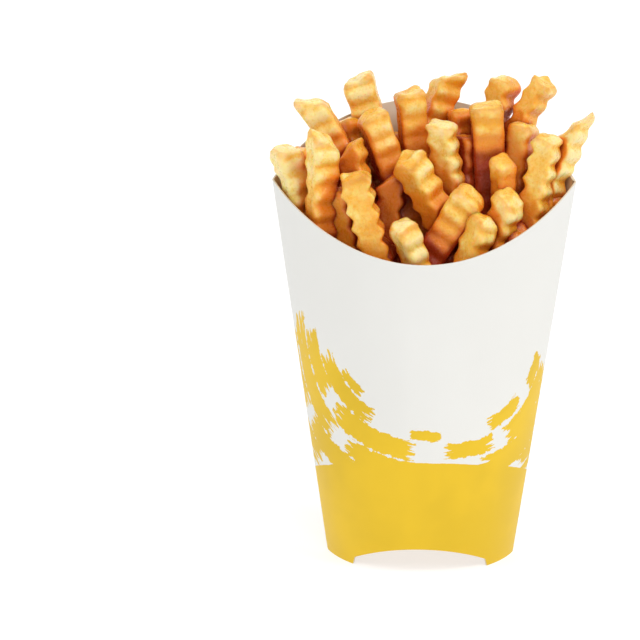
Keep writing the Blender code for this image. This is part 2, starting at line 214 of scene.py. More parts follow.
LOW_FRIES = {
    "fill_back_left": Fry((-36.0, 15, 140), (-27.0, 9), (9.0, 9.0, 2.2), 70, 5, 0, 0.8, 0.0),
    "fill_back_left_middle": Fry((-24.5, 27, 146), (-20.0, 20), (9.0, 8.5, 1.8), 40, -5, -5, -0.8, 0.2),
    "fill_back_middle": Fry((-13.0, 25, 147), (-8.0, 19), (9.5, 9.0, 2.0), 10, 6, 0, 0.8, 0.0),
    "fill_back_centre": Fry((4.0, 27, 146), (4.0, 20), (9.5, 9.0, 2.2), 80, -3, 0, 0.8, 0.1),
    "fill_back_right": Fry((24.0, 25, 143), (20.0, 18), (9.5, 9.0, 1.8), 15, 4, 0, -0.8, 0.2),
    "fill_right": Fry((39.0, 12, 138), (31.0, 8), (9.0, 9.0, 2.2), 75, 8, 0, 0.8, 0.0),
    "fill_far_right": Fry((46.5, 2, 130.5), (37.5, 2), (7.8, 7.8, 1.8), 20, 0, 0, 0.8, 0.2),
    "fill_left": Fry((-34.0, 1, 131), (-29.0, -1), (9.0, 9.0, 2.2), 10, 5, 0, 0.8, -0.3),
    "fill_centre": Fry((3.0, 8, 132), (2.0, 3), (9.5, 9.5, 2.2), 50, 0, 5, 0.8, -0.5),
    "fill_front": Fry((6.0, -11, 119), (7.0, -9), (9.5, 9.5, 2.2), 20, 5, 5, 0.8, -0.5),
    "fill_front_left": Fry((-14.5, -17, 116), (-12.0, -14), (9.5, 9.0, 2.2), 65, 0, 0, 0.8, -0.4),
    "fill_front_right": Fry((33.0, -14, 117), (27.0, -10), (9.0, 9.0, 2.2), 60, 0, 0, 0.8, -0.3),
}


class CartonSettings(bpy.types.PropertyGroup):
    """The board and its print."""

    waviness: FloatProperty(
        name="Waviness",
        description="How far the filled walls stand out of their true curve",
        default=0.45 * MM,
        unit="LENGTH",
    )
    paper: FloatVectorProperty(
        name="Paper",
        description="The coated white of the outside",
        default=(0.79, 0.79, 0.765),
        size=3,
        subtype="COLOR",
    )
    inside: FloatVectorProperty(
        name="Inside",
        description="The uncoated white of the inside",
        default=(0.74, 0.71, 0.66),
        size=3,
        subtype="COLOR",
    )
    ink: FloatVectorProperty(
        name="Ink",
        description="The yellow of the print",
        default=(0.81, 0.53, 0.02),
        size=3,
        subtype="COLOR",
    )


class FrySettings(bpy.types.PropertyGroup):
    """The shape and the colours of the fries."""

    pitch: FloatProperty(
        name="Pitch",
        description="From one ridge to the next",
        default=6.3 * MM,
        unit="LENGTH",
    )
    ridge: FloatProperty(
        name="Ridge",
        description="Half the height of the ridges",
        default=0.75 * MM,
        unit="LENGTH",
    )
    swelling: FloatProperty(
        name="Swelling",
        description="How much thicker a fry is just below its cut end, as a share",
        default=0.06,
    )
    lumps: FloatProperty(
        name="Lumps",
        description="Half the height of the lumps on a cut end",
        default=1.1 * MM,
        unit="LENGTH",
    )
    sag: FloatProperty(
        name="Sag",
        description="How far the faces sink between the crisp edges",
        default=0.35 * MM,
        unit="LENGTH",
    )
    ring_step: FloatProperty(
        name="Ring step",
        description="From one ring of points to the next along a fry",
        default=0.6 * MM,
        unit="LENGTH",
    )
    pale: FloatVectorProperty(
        name="Pale",
        description="The lightly fried faces",
        default=(0.95, 0.67, 0.165),
        size=3,
        subtype="COLOR",
    )
    # Partly painted highlight: the cream is painted on the crests of the ridges and the most open tops.
    cream: FloatVectorProperty(
        name="Cream",
        description="The lightest crests of the ridges",
        default=(0.98, 0.77, 0.36),
        size=3,
        subtype="COLOR",
    )
    golden: FloatVectorProperty(
        name="Golden",
        description="The main colour of the crust",
        default=(0.90, 0.445, 0.035),
        size=3,
        subtype="COLOR",
    )
    browned: FloatVectorProperty(
        name="Browned",
        description="The crisp edges and ends",
        default=(0.66, 0.29, 0.03),
        size=3,
        subtype="COLOR",
    )
    # Painted shade: the crust's colour where the fries shut out part of the light.
    shaded: FloatVectorProperty(
        name="Shaded",
        description="The crust where the light has passed between two fries",
        default=(0.82, 0.25, 0.018),
        size=3,
        subtype="COLOR",
    )
    # Painted shade: the crust's colour where the fries shut out most of the light.
    deep: FloatVectorProperty(
        name="Deep",
        description="The crust deep down between the fries",
        default=(0.37, 0.038, 0.007),
        size=3,
        subtype="COLOR",
    )
    seed: IntProperty(
        name="Seed",
        description="Chooses the small unevenness of every fry",
        default=7,
    )


class StageSettings(bpy.types.PropertyGroup):
    """The camera, the lights and the floor."""

    elevation: FloatProperty(
        name="Elevation",
        description="How far above the horizon the camera looks from",
        default=math.radians(15.0),
        unit="ROTATION",
    )
    distance: FloatProperty(
        name="Distance",
        description="From the camera to the carton's axis",
        default=0.9,
        unit="LENGTH",
    )
    target_height: FloatProperty(
        name="Target height",
        description="The height on the carton's axis at the middle of the picture",
        default=84.8 * MM,
        unit="LENGTH",
    )
    lens: FloatProperty(
        name="Lens",
        description="Focal length in millimetres on a 36 mm sensor",
        default=144.6,
    )
    off_centre: FloatProperty(
        name="Off centre",
        description="How far the carton stands right of the picture's middle, in picture widths",
        default=0.16,
    )
    floor: FloatVectorProperty(
        name="Floor",
        description="The floor and the backdrop",
        default=(0.45, 0.45, 0.45),
        size=3,
        subtype="COLOR",
    )
    glow: FloatProperty(
        name="Glow",
        description="How much the floor shines by itself, as a light table does",
        default=0.62,
    )


# Meshes


class Patches:
    """Grids of points gathered into one mesh, each with its material and a value for each point."""

    def __init__(self):
        self.points = []
        self.values = []
        self.faces = []
        self.slots = []

    def count(self):
        """How many points there are so far."""
        return sum(len(block) for block in self.points)

    def add(self, grid, values, slot=0, flip=False, closed=False):
        """Adds rows of points.

        The faces look at someone who sees each row run to the right and the next row above it.
        """
        rows, columns = grid.shape[:2]
        index = np.arange(rows * columns).reshape(rows, columns) + self.count()
        if closed:
            index = np.concatenate([index, index[:, :1]], axis=1)
        a, b, c, d = index[:-1, :-1], index[:-1, 1:], index[1:, 1:], index[1:, :-1]
        order = (a, d, c, b) if flip else (a, b, c, d)
        self.faces.append(np.stack(order, axis=-1).reshape(-1, 4))
        self.slots.append(np.full(len(self.faces[-1]), slot))
        self.points.append(grid.reshape(-1, 3))
        self.values.append(values.reshape(-1, values.shape[-1]))

    def fan(self, centre, value, ring_start, count, slot=0):
        """Closes the first ring of a closed patch with triangles to one point."""
        tips = np.full(count, self.count())
        ring = np.arange(count) + ring_start
        self.points.append(np.array([centre]))
        self.values.append(np.array([value]))
        self.faces.append(np.stack((tips, np.roll(ring, -1), ring), axis=-1))
        self.slots.append(np.full(count, slot))

    def build(self, name, materials, layer, sharp_angle):
        """Makes the object and shades it smooth.

        The first three values of a point go in the layer, and any others are tone and painted shade.
        """
        points = np.concatenate(self.points)
        values = np.concatenate(self.values)
        mesh = bpy.data.meshes.new(name)
        faces = [face.tolist() for block in self.faces for face in block]
        mesh.from_pydata(points.tolist(), [], faces)
        mesh.polygons.foreach_set("material_index", np.concatenate(self.slots))
        attribute = mesh.attributes.new(layer, "FLOAT_VECTOR", "POINT")
        attribute.data.foreach_set("vector", values[:, :3].astype(np.float32).ravel())
        for extra, column in zip(("tone", "shade"), values.T[3:]):
            attribute = mesh.attributes.new(extra, "FLOAT", "POINT")
            attribute.data.foreach_set("value", column.astype(np.float32))
        for material in materials:
            mesh.materials.append(material)
        mesh.validate()
        mesh.shade_smooth()
        mesh.set_sharp_from_angle(angle=sharp_angle)
        made = bpy.data.objects.new(name, mesh)
        bpy.context.scene.collection.objects.link(made)
        return made


def fit_to_body(piece, node):
    """Puts the piece in the part's frame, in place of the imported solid."""
    piece.data.transform(Matrix.Translation(AXIS))
    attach(piece, "root")
    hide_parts(node)


# The carton's shape


def half_sizes(height, inset):
    """The carton's half-width and half-depth at a height, this far in from the outside."""
    share = height / CORNER_HEIGHT
    half_width = FOOT_HALF_WIDTH + (CORNER_HALF_WIDTH - FOOT_HALF_WIDTH) * share
    half_depth = FOOT_HALF_DEPTH + (CORNER_HALF_DEPTH - FOOT_HALF_DEPTH) * share
    return half_width - CREASE_SHRINK * inset, half_depth - inset


def wall_depth(across):
    """How deep the wall's curve stands, as a share of its half-depth."""
    sine = np.clip(across, -1, 1) * math.sin(WALL_ARC)
    return (np.sqrt(1 - sine * sine) - math.cos(WALL_ARC)) / (1 - math.cos(WALL_ARC))


def rim_height(across, side):
    """The cut edge of the wall: one arc, which dips at the front and rises at the back."""
    chord = CORNER_HALF_WIDTH * across
    sag = math.sqrt(RIM_ARC_RADIUS**2 - CORNER_HALF_WIDTH**2)
    rise = np.sqrt(RIM_ARC_RADIUS**2 - chord**2) - sag
    return CORNER_HEIGHT + side * RIM_ARC_HEIGHT * rise / (RIM_ARC_RADIUS - sag)


def bottom_height(across):
    """The underside of the bottom: an arc between the feet, which levels out towards the creases."""
    out = np.abs(across) * FOOT_HALF_WIDTH
    drop = ARCH_RADIUS - np.sqrt(ARCH_RADIUS**2 - np.minimum(out, ARCH_HALF_WIDTH) ** 2)
    beyond = np.clip((out - ARCH_HALF_WIDTH) / (FOOT_HALF_WIDTH - ARCH_HALF_WIDTH), 0, 1)
    return BOTTOM_LOW + (ARCH_HEIGHT - drop - BOTTOM_LOW) * (1 - beyond) ** BOTTOM_EASE


def low_edge(across):
    """The lower cut edge of a wall: flat feet, a short riser, then the arch."""
    out = np.abs(across) * FOOT_HALF_WIDTH
    riser = (out - ARCH_HALF_WIDTH) / ARCH_RISER
    arch = bottom_height(np.minimum(out, ARCH_HALF_WIDTH) / FOOT_HALF_WIDTH)
    return arch * (1 - np.clip(riser, 0, 1))


def wall_columns():
    """Where the walls have an edge, as shares of the half-width, denser towards the creases."""
    angles = np.linspace(-WALL_ARC, WALL_ARC, WALL_COLUMNS + 1)
    even = np.sin(angles) / math.sin(WALL_ARC)
    inner = ARCH_HALF_WIDTH / FOOT_HALF_WIDTH
    outer = (ARCH_HALF_WIDTH + ARCH_RISER) / FOOT_HALF_WIDTH
    corners = [-outer, -inner, inner, outer]
    even = even[[min(abs(share - corner) for corner in corners) > 0.01 for share in even]]
    return np.sort(np.concatenate([even, corners]))


def bulge(across, side, height, amount):
    """How far a filled wall stands out here: nothing at the creases, and little at the bottom."""
    hold = (1 - np.abs(across) ** 4) * np.clip(height / BULGE_START, 0, 1)
    places = [
        Vector((BULGE_TURNS * a, BULGE_APART * side, h / BULGE_WAVE))
        for a, h in zip(across.ravel(), height.ravel())
    ]
    soft = np.array([noise.noise(place) + 0.5 for place in places])
    return amount * hold * soft.reshape(across.shape)


def sheet_x(across, half_width, half_depth):
    """How far round the wall from its middle a point lies, on the flat sheet."""
    angle = np.arcsin(np.clip(across, -1, 1) * math.sin(WALL_ARC))
    ratio = 0.5 * (half_width / math.sin(WALL_ARC) + half_depth / (1 - math.cos(WALL_ARC)))
    return ratio * angle


def wall_grid(across, side, low, high, rows, inset, waviness):
    """Rows of points on a wall from its low edge to its high edge, with their place on the sheet."""
    share = np.linspace(0, 1, rows + 1)[:, None]
    height = low[None, :] + (high - low)[None, :] * share
    across = np.broadcast_to(across, height.shape)
    half_width, half_depth = half_sizes(height, inset)
    curve = half_depth * wall_depth(across)
    depth = curve + bulge(across, side, height, waviness)
    grid = np.stack([half_width * across, side * depth, height], axis=-1)
    round_wall = sheet_x(across, half_width, half_depth)
    rise = height - SHEET_RISE * curve
    values = np.stack([round_wall, rise, np.full(height.shape, float(side))], axis=-1)
    return grid, values


def between_edges(front, back, steps):
    """Rows of points on straight lines from one edge to another."""
    shares = np.linspace(0, 1, steps + 1)[:, None, None]
    return front[None] * (1 - shares) + back[None] * shares


def carton_mesh(materials, waviness):
    """Folds the board: two walls, the arched bottom and every cut edge."""
    printed, inside, cut = range(3)
    across = wall_columns()
    low = low_edge(across)
    under = bottom_height(across)
    patches = Patches()
    panel = {}
    for side in (-1, 1):
        rim = rim_height(across, side)
        flip = side == 1
        outer, outer_values = wall_grid(across, side, low, rim, WALL_ROWS, 0.0, waviness)
        inner, inner_values = wall_grid(across, side, under + BOARD, rim, WALL_ROWS, BOARD, waviness)
        skirt, skirt_values = wall_grid(across, side, low, under, 1, BOARD, waviness)
        patches.add(outer, outer_values, printed, flip)
        patches.add(inner, inner_values, inside, not flip)
        patches.add(skirt, skirt_values, inside, not flip)
        for row, other in ((0, skirt), (-1, inner)):
            strip = np.stack([outer[row], other[row]])
            values = np.stack([outer_values[row], outer_values[row]])
            patches.add(strip, values, cut, flip == (row == -1))
        panel[side] = inner[0], skirt[-1]
    for level, flip in ((0, False), (1, True)):
        grid = between_edges(panel[-1][level], panel[1][level], PANEL_STEPS)
        patches.add(grid, np.zeros(grid.shape), inside, flip)
    add_flap(patches, inside, cut, waviness)
    return patches.build("paper_carton", materials, "sheet", math.radians(35))


def add_flap(patches, inside, cut, waviness):
    """The flap that is glued inside the back wall, along the right crease."""
    across = np.linspace(FLAP_START, FLAP_END, FLAP_COLUMNS + 1)
    slant = np.clip((across - FLAP_START) / FLAP_SLANT, 0, 1)
    low = bottom_height(across) + BOARD + FLAP_LOW + FLAP_CORNER * (1 - slant)
    high = rim_height(across, 1) - FLAP_CORNER * (1 - slant)
    face, values = wall_grid(across, 1, low, high, FLAP_ROWS, FLAP_INSET, waviness)
    wall, _ = wall_grid(across, 1, low, high, FLAP_ROWS, BOARD, waviness)
    patches.add(face, values, inside)
    for strip in (np.stack([face[:, 0], wall[:, 0]]), np.stack([wall[-1], face[-1]])):
        patches.add(strip, np.zeros(strip.shape), cut, flip=True)


# The fries' shape


def inside_carton(points):
    """Whether every point is clear of the walls, or well above the rim."""
    x, y, z = points[:, 0], points[:, 1], points[:, 2]
    half_width, half_depth = half_sizes(z, BOARD + GAP)
    across = x / half_width
    above = z > rim_height(np.clip(across, -1, 1), np.sign(y)) + RIM_MARGIN
    within = (np.abs(across) <= 1) & (np.abs(y) <= half_depth * wall_depth(across))
    return np.all(above | within)


def nudge(points):
    """How far a ring of points has to move towards the carton's axis to be clear of the walls."""
    way = -points.mean(axis=0) * np.array([1, 1, 0])
    for n in range(NUDGE_STEPS + 1):
        if inside_carton(points + way * n / NUDGE_STEPS):
            return way * n / NUDGE_STEPS
    return way


def section(half_across, half_between, corner):
    """The points of a fry's section, and how close each one is to an edge, from 0 to 1."""
    signs = np.array([(1, -1), (1, 1), (-1, 1), (-1, -1)])
    centres = signs * (half_across - corner, half_between - corner)
    quarter = np.linspace(0, 1, CORNER_POINTS)
    between = np.linspace(0, 1, SIDE_POINTS + 2)[1:-1]
    points = []
    edges = []
    for n, centre in enumerate(centres):
        angles = math.pi / 2 * (n - 1 + quarter)
        rounded = centre + corner * np.stack([np.cos(angles), np.sin(angles)], axis=-1)
        following = centres[(n + 1) % 4] + rounded[-1] - centre
        points += [rounded, rounded[-1] + (following - rounded[-1]) * between[:, None]]
        edges.append(CORNER_EDGE + (1 - CORNER_EDGE) * np.sin(math.pi * quarter))
        edges.append(CORNER_EDGE * (2 * between - 1) ** 2)
    return np.concatenate(points), np.concatenate(edges)


def fry_axes(shape):
    """The fry's tip, its direction downwards, the way its ridged face looks, and across that."""
    tip = Vector(shape.tip) * MM
    low = Vector((*shape.low, 0)) * MM + Vector((0, 0, PACKING_LEVEL))
    along = (low - tip).normalized()
    front = Vector((0, -1, 0))
    ridged = (front - along * front.dot(along)).normalized()
    ridged.rotate(Matrix.Rotation(math.radians(shape.turn), 3, -along))
    across = (-along).cross(ridged)
    return np.array(tip), np.array(along), np.array(ridged), np.array(across), (low - tip).length


def crinkle(reach, pitch, crest_first):
    """The wave of the ridges, from -1 to 1: rounded crests with narrow creases between them."""
    share = (reach / pitch + 0.5 * crest_first) % 1
    scallop = 1 - 2 * np.abs(2 * share - 1) ** SCALLOP_POWER
    return SCALLOP_SHARE * scallop - (1 - SCALLOP_SHARE) * np.cos(2 * math.pi * share)


def waver(places, seed, size):
    """Smooth noise at each place, from about -1 to 1, in bumps of about this size."""
    flat = places.reshape(-1, 3) / size
    return np.array([noise.noise(Vector(p) + seed) for p in flat]).reshape(places.shape[:-1])


def bow_out(shape, share):
    """How far towards +X a bowed fry stands out, at a share of its length."""
    return 4 * shape.bow * MM * share * (1 - share)


def off_the_walls(shape, reach, ridge):
    """How far the fry has to shift at each reach to stay off the walls."""
    tip, along, ridged, across, length = fry_axes(shape)
    half_across, half_between = np.array(shape.size[:2]) * 0.5 * MM
    marks = np.linspace(0, length, WALL_MARKS)
    steps = []
    for mark in marks:
        middle = tip + along * mark
        middle[0] += bow_out(shape, mark / length)
        corners = [
            middle + across * (i * half_across) + ridged * (j * (half_between + ridge))
            for i, j in ((-1, -1), (1, -1), (1, 1), (-1, 1))
        ]
        steps.append(nudge(np.array(corners)))
    return np.stack([np.interp(reach, marks, column) for column in np.array(steps).T], axis=-1)


def fry_rings(shape, length, settings):
    """Where each ring of points lies and the fry's section there, before its ridges.

    Gives how far below the tip each ring is and how far it has opened out of the rounded end, each
    point's place across the fry and its crispness, and whether it is on a ridged face.
    """
    half_across, half_between, corner = np.array(shape.size) * (0.5, 0.5, 1.0) * MM
    outline, edge = section(half_across, half_between, corner)
    opening = np.linspace(0, 1, CAP_RINGS + 1)[1:]
    cap = CAP_DEPTH * (1 - np.sqrt(1 - opening**4))
    body = np.arange(CAP_DEPTH + settings.ring_step, length, settings.ring_step)
    down = np.concatenate([cap, body])[:, None]
    opened = np.concatenate([opening, np.ones(len(body))])[:, None]

    # The section is a little thicker below the end
    swollen = 1 + settings.swelling * np.exp(-(((down - SWELL_DEPTH) / SWELL_DEPTH) ** 2))
    a = outline[None, :, 0] * opened * swollen
    b = outline[None, :, 1] * opened * swollen

    # The faces sink between the edges
    outermost = np.maximum(np.abs(a) / half_across, np.abs(b) / half_between)
    on_side = np.abs(a) / half_across > ON_FACE * outermost
    on_ridges = np.abs(b) / half_between > ON_FACE * outermost
    sunk = settings.sag * (1 - edge[None]) * opened**6
    a = a - np.sign(a) * sunk * on_side
    b = b - np.sign(b) * RIDGED_SAG * sunk * on_ridges
    return down, opened, a, b, edge[None], on_ridges


def uneven(points, offset, seed, strength):
    """Lifts the points by small lumps, away from the fry's middle line."""
    out = offset / np.maximum(np.linalg.norm(offset, axis=-1, keepdims=True), 1e-9)
    rough = sum(height * waver(points, seed, size) for height, size in UNEVENNESS)
    return points + out * (rough * strength)[..., None]


def fry_patch(patches, shape, number, settings):
    """Adds one crinkle-cut fry to the patches."""
    tip, along, ridged, across, length = fry_axes(shape)
    down, opened, a, b, edge, on_ridges = fry_rings(shape, length, settings)
    seed = Vector((number * SEED_STEP, settings.seed, 0.0))

    # The cut end slopes, and the slope dies away along the fry
    offset = across * a[..., None] + ridged * b[..., None]
    slope = offset[..., 0] * math.tan(math.radians(shape.cut))
    slope = slope - offset[..., 1] * math.tan(math.radians(shape.face))
    reach = down + slope * np.exp(-down / CUT_FADE)

    pitch = settings.pitch * (1 + PITCH_SPREAD * math.sin(number * PITCH_STEP))
    wave = crinkle(reach, pitch, shape.ridges < 0)
    points = tip + along * reach[..., None] + offset
    points = points + ridged * (settings.ridge * abs(shape.ridges) * wave)[..., None]
    points[..., 0] += bow_out(shape, reach / length)
    points = points + off_the_walls(shape, reach, settings.ridge)

    # It is rougher on the crisp edges, and lumpy at the cut end
    roughness = (FACE_ROUGHNESS + EDGE_ROUGHNESS * edge) * opened
    points = uneven(points, offset, seed, roughness)
    lumps = waver(points, seed, LUMP_SIZE) * np.exp(-down / LUMP_FADE)
    points = points - along * (settings.lumps * lumps)[..., None]

    rim = np.exp(-np.maximum(0, down - RIM_DEPTH) / RIM_DEPTH) * opened**4
    crest = np.sign(b) * on_ridges * wave
    shade = shape.shade * np.interp(reach, SHADE_SPAN, (0, 1))
    columns = np.broadcast_arrays(edge * opened**4, rim, crest, shape.tone, shade)
    ring_start = patches.count()
    patches.add(points, np.stack(columns, axis=-1), closed=True)
    middle = points[0].mean(axis=0)
    patches.fan(middle, [0.0, 0.0, 0.0, shape.tone, 0.0], ring_start, points.shape[1])


def fries_object(name, shapes, settings, first_number):
    """One object with a group of fries."""
    patches = Patches()
    for number, shape in enumerate(shapes.values()):
        fry_patch(patches, shape, first_number + number, settings)
    return patches.build(name, [crust_material()], "crust", math.radians(80))


def core_object():
    """What the hidden fries fill, lumpy on top, clear of the board all round."""
    angles = np.linspace(-WALL_ARC, WALL_ARC, CORE_COLUMNS + 1)
    across = np.sin(angles) / math.sin(WALL_ARC)
    inset = BOARD + GAP
    patches = Patches()
    edges = {}
    for side in (-1, 1):
        low = bottom_height(across) + inset
        depth = half_sizes(CORE_HEIGHT, inset)[1] * wall_depth(across) * side
        high = CORE_HEIGHT + CORE_SLOPE * depth
        grid, _ = wall_grid(across, side, low, high, CORE_ROWS, inset, 0.0)
        edges[side] = grid[0], grid[-1]
        patches.add(grid, core_values(grid), flip=side == 1)
    bottom = between_edges(edges[-1][0], edges[1][0], CORE_STEPS)
    top = between_edges(edges[-1][1], edges[1][1], CORE_STEPS)
    shares = np.linspace(0, 1, CORE_STEPS + 1)[:, None]
    hold = (np.sin(math.pi * shares) * (1 - across[None] ** 6)) ** 0.5
    top[..., 2] += CORE_LUMP * hold * waver(top, Vector(), CORE_LUMP_SIZE)
    patches.add(top, core_values(top))
    patches.add(bottom, core_values(bottom), flip=True)
    return patches.build("packed_fries", [crust_material()], "crust", math.radians(80))


def core_values(grid):
    """The core's values: no edge, rim or crest, the darkest tone, as painted shade, and no shade of its own.
    """
    values = np.zeros((*grid.shape[:2], 5))
    values[..., 3] = -1.0
    return values


# How open the fries are to the light, which sets the shade painted into their colour


def even_directions(count):
    """Directions spread evenly over the sphere."""
    steps = np.arange(count) + 0.5
    height = 1 - 2 * steps / count
    turn = math.pi * (1 + math.sqrt(5)) * steps
    ring = np.sqrt(1 - height * height)
    return np.stack([np.cos(turn) * ring, np.sin(turn) * ring, height], axis=-1)


def mesh_arrays(piece):
    """The points, the normals and the faces of a piece."""
    mesh = piece.data
    points = np.empty(len(mesh.vertices) * 3, np.float32)
    normals = np.empty(len(mesh.vertices) * 3, np.float32)
    mesh.vertices.foreach_get("co", points)
    mesh.vertex_normals.foreach_get("vector", normals)
    faces = [tuple(face.vertices) for face in mesh.polygons]
    return points.reshape(-1, 3), normals.reshape(-1, 3), faces


def seen_share(tree, board_start, point, normal, directions):
    """How far a point sees past its neighbours, from 0 where it is shut in to 1.

    The faces from board_start on are the white board, which gives back a part of the light it stops.
    """
    facing = directions @ normal
    free = total = 0.0
    start = Vector(point + normal * OPEN_START)
    for direction, weight in zip(directions, facing):
        if weight < OPEN_LEAST:
            continue
        _, _, index, distance = tree.ray_cast(start, direction, OPEN_REACH)
        share = 1.0 if index is None else distance / OPEN_REACH
        if index is not None and index >= board_start:
            share += BOARD_LIGHT * (1.0 - share)
        total += weight
        free += weight * share
    return free / total


def shut_in(fries, board):
    """A tree of everything that shuts light out, and the number of its first face of board."""
    points = []
    faces = []
    for piece in (*fries, board):
        board_start = len(faces)
        piece_points, _, piece_faces = mesh_arrays(piece)
        faces += [tuple(i + len(points) for i in face) for face in piece_faces]
        points += piece_points.tolist()
    return BVHTree.FromPolygons(points, faces), board_start


def smoothed(value, mesh):
    """The value of every point, shared out over its neighbours a few times."""
    pairs = np.array([edge.vertices for edge in mesh.edges])
    for _ in range(OPEN_SMOOTHING):
        total = value.copy()
        count = np.ones(len(value))
        for here, there in (pairs.T, pairs.T[::-1]):
            np.add.at(total, here, value[there])
            np.add.at(count, here, 1)
        value = total / count
    return value


def store_openness(fries, board):
    """Stores how open each point of the fries is to the light, less the painted shade of its own that a fry
    is given.
    """
    tree, board_start = shut_in(fries, board)
    directions = even_directions(OPEN_RAYS)
    for piece in fries:
        points, normals, _ = mesh_arrays(piece)
        value = np.zeros(len(points))
        for n in np.flatnonzero(points[:, 2] > OPEN_FLOOR):
            value[n] = seen_share(tree, board_start, points[n], normals[n], directions)
        shade = np.empty(len(value), np.float32)
        piece.data.attributes["shade"].data.foreach_get("value", shade)
        value = smoothed(value, piece.data) - shade
        layer = piece.data.attributes.new("open", "FLOAT", "POINT")
        layer.data.foreach_set("value", value.astype(np.float32))


# Materials


def new_material(name):
    """A new node material, its tree and its shader."""
    material = bpy.data.materials.new(name)
    material.use_nodes = True
    return material, material.node_tree, material.node_tree.nodes["Principled BSDF"]


def set_input(tree, socket, value):
    """Puts a number or another socket's value into a socket."""
    if isinstance(value, (int, float)):
        socket.default_value = value
    else:
        tree.links.new(value, socket)


def math_node(tree, operation, *values):
    """A Math node whose inputs are sockets or numbers."""
    node = tree.nodes.new("ShaderNodeMath")
    node.operation = operation
    for socket, value in zip(node.inputs, values):
        set_input(tree, socket, value)
    return node.outputs[0]


def weighted(tree, start, *terms):
    """A number plus some sockets, each times its weight."""
    total = start
    for socket, weight in terms:
        total = math_node(tree, "MULTIPLY_ADD", socket, weight, total)
    return total


def noise_node(tree, vector, scale, detail=2.0, roughness=0.5):
    """A Noise texture's value."""
    node = tree.nodes.new("ShaderNodeTexNoise")
    node.inputs["Scale"].default_value = scale
    node.inputs["Detail"].default_value = detail
    node.inputs["Roughness"].default_value = roughness
    tree.links.new(vector, node.inputs["Vector"])
    return node.outputs["Fac"]


def span_node(tree, value, low, high, to_low=0.0, to_high=1.0):
    """A smooth step from one value to another."""
    node = tree.nodes.new("ShaderNodeMapRange")
    node.interpolation_type = "SMOOTHSTEP"
    node.inputs["From Min"].default_value = low
    node.inputs["From Max"].default_value = high
    node.inputs["To Min"].default_value = to_low
    node.inputs["To Max"].default_value = to_high
    tree.links.new(value, node.inputs["Value"])
    return node.outputs["Result"]


def mix_node(tree, share, first, second):
    """A mix of two colours, each a socket or three numbers."""
    node = tree.nodes.new("ShaderNodeMix")
    node.data_type = "RGBA"
    for socket, value in ((node.inputs[0], share), (node.inputs[6], first), (node.inputs[7], second)):
        if isinstance(value, (int, float)):
            socket.default_value = value
        elif isinstance(value, bpy.types.NodeSocket):
            tree.links.new(value, socket)
        else:
            socket.default_value = (*value, 1.0)
    return node.outputs[2]


def bump_node(tree, height, distance, normal=None):
    """A Bump node over a height from 0 to 1, in metres of relief."""
    node = tree.nodes.new("ShaderNodeBump")
    node.inputs["Strength"].default_value = 1.0
    set_input(tree, node.inputs["Distance"], distance)
    tree.links.new(height, node.inputs["Height"])
    if normal:
        tree.links.new(normal, node.inputs["Normal"])
    return node.outputs["Normal"]


def attribute_node(tree, name):
    """The node of a value stored on the mesh."""
    node = tree.nodes.new("ShaderNodeAttribute")
    node.attribute_name = name
    return node


def separate(tree, vector):
    """The three parts of a vector."""
    node = tree.nodes.new("ShaderNodeSeparateXYZ")
    tree.links.new(vector, node.inputs[0])
    return node.outputs


def object_place(tree):
    """Where the point lies, in the part's own frame."""
    return tree.nodes.new("ShaderNodeTexCoord").outputs["Object"]


